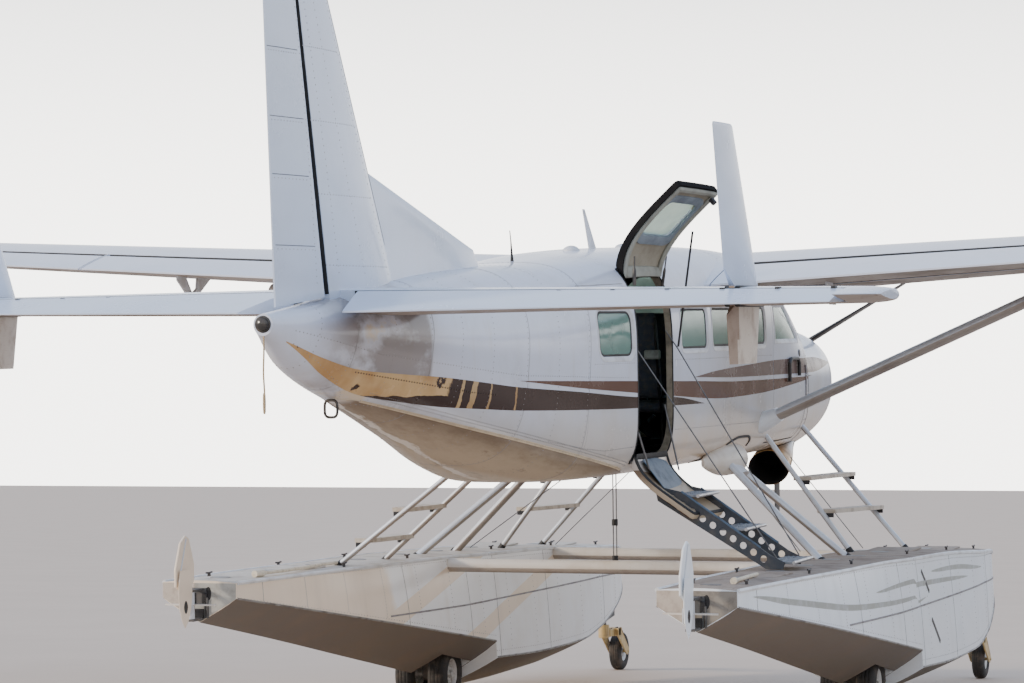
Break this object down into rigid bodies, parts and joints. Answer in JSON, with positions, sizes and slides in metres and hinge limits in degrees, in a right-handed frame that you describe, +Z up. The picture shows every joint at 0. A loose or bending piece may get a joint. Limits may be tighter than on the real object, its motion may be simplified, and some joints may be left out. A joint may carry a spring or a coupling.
{
  "type": "amphibious floatplane",
  "caption": "High-wing single-turboprop utility aircraft on twin amphibious floats with wheels, parked with its airstair down and upper passenger door raised.",
  "frame": {"origin": "centre of the bounding box at ground level, where the wheels touch", "axes": "+Y towards the propeller, +X to starboard, +Z up"},
  "size_m": [15.88, 11.982, 4.9508],
  "materials": {
    "bare_metal": "satin",
    "cloth": "woven",
    "dark_metal": "satin",
    "engine_metal": "rough",
    "glazing": "tinted",
    "gold_paint": "satin",
    "prop": "polished spinner and dark blades",
    "rope": "twisted",
    "tyre": "rough",
    "white_paint": "gloss paint with brown and gold stripes"
  },
  "bodies": {
    "airframe": {"cabin_shell": "white_paint", "windshield": "glazing", "cabin_floor": "dark_metal", "firewall": "bare_metal", "instrument_panel": "dark_metal", "tail_cone": "white_paint", "fin": "white_paint", "cowling": "white_paint", "exhaust_pipe": "dark_metal", "engine": "engine_metal", "spreader_bar_front": "bare_metal", "spreader_bar_rear": "bare_metal", "cargo_ladder": "bare_metal", "tail_line": "rope", "wing_left": "white_paint", "wing_right": "white_paint", "aft_window_left": "glazing", "aft_window_right": "glazing", "windows_left": "glazing", "windows_right": "glazing", "seats_left": "cloth", "seats_right": "cloth", "stabilizer_left": "white_paint", "stabilizer_right": "white_paint", "wing_strut_left": "bare_metal", "wing_strut_right": "bare_metal", "float_hull_left": "white_paint", "float_hull_right": "white_paint", "main_gear_leg_left": "bare_metal", "main_gear_leg_right": "bare_metal", "main_struts_left": "bare_metal", "main_struts_right": "bare_metal", "boarding_ladder_left": "bare_metal", "boarding_ladder_right": "bare_metal"},
    "propeller": {"propeller": "prop"},
    "rudder": {"rudder": "white_paint"},
    "passenger_door_upper": {"passenger_door_upper": "white_paint"},
    "airstair_door": {"airstair_door": "bare_metal"},
    "cargo_door_upper": {"cargo_door_upper": "white_paint"},
    "cargo_door_lower": {"cargo_door_lower": "white_paint"},
    "flap_left": {"flap_left": "white_paint"},
    "flap_right": {"flap_right": "white_paint"},
    "aileron_left": {"aileron_left": "white_paint"},
    "aileron_right": {"aileron_right": "white_paint"},
    "elevator_left": {"elevator_left": "white_paint"},
    "elevator_right": {"elevator_right": "white_paint"},
    "crew_door_left": {"crew_door_left": "white_paint"},
    "crew_door_right": {"crew_door_right": "white_paint"},
    "main_wheels_left": {"main_wheels_left": "tyre"},
    "main_wheels_right": {"main_wheels_right": "tyre"},
    "bow_caster_left": {"bow_caster_left": "gold_paint"},
    "bow_caster_right": {"bow_caster_right": "gold_paint"},
    "bow_wheel_left": {"bow_wheel_left": "tyre"},
    "bow_wheel_right": {"bow_wheel_right": "tyre"},
    "rudder_post_left": {"rudder_post_left": "bare_metal"},
    "rudder_post_right": {"rudder_post_right": "bare_metal"},
    "water_rudder_left": {"water_rudder_left": "bare_metal"},
    "water_rudder_right": {"water_rudder_right": "bare_metal"}
  },
  "joints": [
    {"name": "propeller_spin", "type": "hinge", "parent": "airframe", "child": "propeller", "pos_m": [0, 5.07771, 2.68742], "axis": [0, 0.9986, 0.0523], "continuous": true},
    {"name": "rudder_hinge", "type": "hinge", "parent": "airframe", "child": "rudder", "pos_m": [0, -5.14256, 2.56737], "axis": [0, -0.2416, 0.9704], "range_deg": [-25, 25]},
    {"name": "flap_right_hinge", "type": "hinge", "parent": "airframe", "child": "flap_right", "pos_m": [1.5, 0.79328, 2.93372], "axis": [0.9974, 0.0433, 0.0577], "range_deg": [0, 30]},
    {"name": "aileron_right_hinge", "type": "hinge", "parent": "airframe", "child": "aileron_right", "pos_m": [4.26, 0.86202, 3.30597], "axis": [0.9974, 0.0433, 0.0577], "range_deg": [-25, 16]},
    {"name": "elevator_right_hinge", "type": "hinge", "parent": "airframe", "child": "elevator_right", "pos_m": [0, -5.04319, 2.63066], "axis": [0.9977, 0.067, 0.0035], "range_deg": [-32, 13]},
    {"name": "flap_left_hinge", "type": "hinge", "parent": "airframe", "child": "flap_left", "pos_m": [-3.5, 0.88019, 3.0494], "axis": [0.9974, -0.0433, -0.0577], "range_deg": [0, 30]},
    {"name": "aileron_left_hinge", "type": "hinge", "parent": "airframe", "child": "aileron_left", "pos_m": [-7.56, 1.00542, 3.49685], "axis": [0.9974, -0.0433, -0.0577], "range_deg": [-25, 16]},
    {"name": "elevator_left_hinge", "type": "hinge", "parent": "airframe", "child": "elevator_left", "pos_m": [-3.125, -4.83348, 2.64165], "axis": [0.9977, -0.067, -0.0035], "range_deg": [-32, 13]},
    {"name": "crew_door_right_hinge", "type": "hinge", "parent": "airframe", "child": "crew_door_right", "pos_m": [0.7474, 3.12076, 2.32951], "axis": [0, -0.0523, 0.9986], "range_deg": [0, 80]},
    {"name": "crew_door_left_hinge", "type": "hinge", "parent": "airframe", "child": "crew_door_left", "pos_m": [-0.7474, 3.12076, 2.32951], "axis": [0, 0.0523, -0.9986], "range_deg": [0, 80]},
    {"name": "passenger_door_upper_hinge", "type": "hinge", "parent": "airframe", "child": "passenger_door_upper", "pos_m": [0.54891, -1.3396, 3.04105], "axis": [0.146, 0.9879, 0.0518], "range_deg": [0, 131]},
    {"name": "airstair_hinge", "type": "hinge", "parent": "airframe", "child": "airstair_door", "pos_m": [0.62614, -1.27303, 1.77079], "axis": [-0.0802, -0.9954, -0.0522], "range_deg": [0, 123]},
    {"name": "cargo_door_upper_hinge", "type": "hinge", "parent": "airframe", "child": "cargo_door_upper", "pos_m": [-0.5803, -1.3396, 3.04105], "axis": [-0.099, 0.9937, 0.0521], "range_deg": [0, 120]},
    {"name": "cargo_door_lower_hinge", "type": "hinge", "parent": "airframe", "child": "cargo_door_lower", "pos_m": [-0.77918, -0.02283, 2.12471], "axis": [0, 0.0523, -0.9986], "range_deg": [0, 95]},
    {"name": "main_wheels_right_axle", "type": "hinge", "parent": "airframe", "child": "main_wheels_right", "pos_m": [1.61, 1.00117, 0.22169], "axis": [1, 0, 0], "continuous": true},
    {"name": "bow_caster_right_swivel", "type": "hinge", "parent": "airframe", "child": "bow_caster_right", "pos_m": [1.61, 5.36968, 0.36452], "axis": [0, -0.0523, 0.9986], "continuous": true},
    {"name": "bow_wheel_right_axle", "type": "hinge", "parent": "bow_caster_right", "child": "bow_wheel_right", "pos_m": [1.61, 5.82569, 0.16611], "axis": [1, 0, 0], "continuous": true},
    {"name": "rudder_post_right_steer", "type": "hinge", "parent": "airframe", "child": "rudder_post_right", "pos_m": [1.61, -3.2383, 0.8647], "axis": [0, -0.0523, 0.9986], "range_deg": [-25, 25]},
    {"name": "water_rudder_right_pivot", "type": "hinge", "parent": "rudder_post_right", "child": "water_rudder_right", "pos_m": [1.61, -3.32817, 0.85999], "axis": [1, 0, 0], "range_deg": [0, 165]},
    {"name": "main_wheels_left_axle", "type": "hinge", "parent": "airframe", "child": "main_wheels_left", "pos_m": [-1.61, 1.00117, 0.22169], "axis": [1, 0, 0], "continuous": true},
    {"name": "bow_caster_left_swivel", "type": "hinge", "parent": "airframe", "child": "bow_caster_left", "pos_m": [-1.61, 5.36968, 0.36452], "axis": [0, -0.0523, 0.9986], "continuous": true},
    {"name": "bow_wheel_left_axle", "type": "hinge", "parent": "bow_caster_left", "child": "bow_wheel_left", "pos_m": [-1.61, 5.82569, 0.16611], "axis": [1, 0, 0], "continuous": true},
    {"name": "rudder_post_left_steer", "type": "hinge", "parent": "airframe", "child": "rudder_post_left", "pos_m": [-1.61, -3.2383, 0.8647], "axis": [0, -0.0523, 0.9986], "range_deg": [-25, 25]},
    {"name": "water_rudder_left_pivot", "type": "hinge", "parent": "rudder_post_left", "child": "water_rudder_left", "pos_m": [-1.61, -3.32817, 0.85999], "axis": [1, 0, 0], "range_deg": [0, 165]}
  ],
  "couplings": [
    {"joint": "flap_left_hinge", "follows": "flap_right_hinge", "ratio": 1},
    {"joint": "elevator_left_hinge", "follows": "elevator_right_hinge", "ratio": 1},
    {"joint": "rudder_post_left_steer", "follows": "rudder_post_right_steer", "ratio": 1}
  ]
}
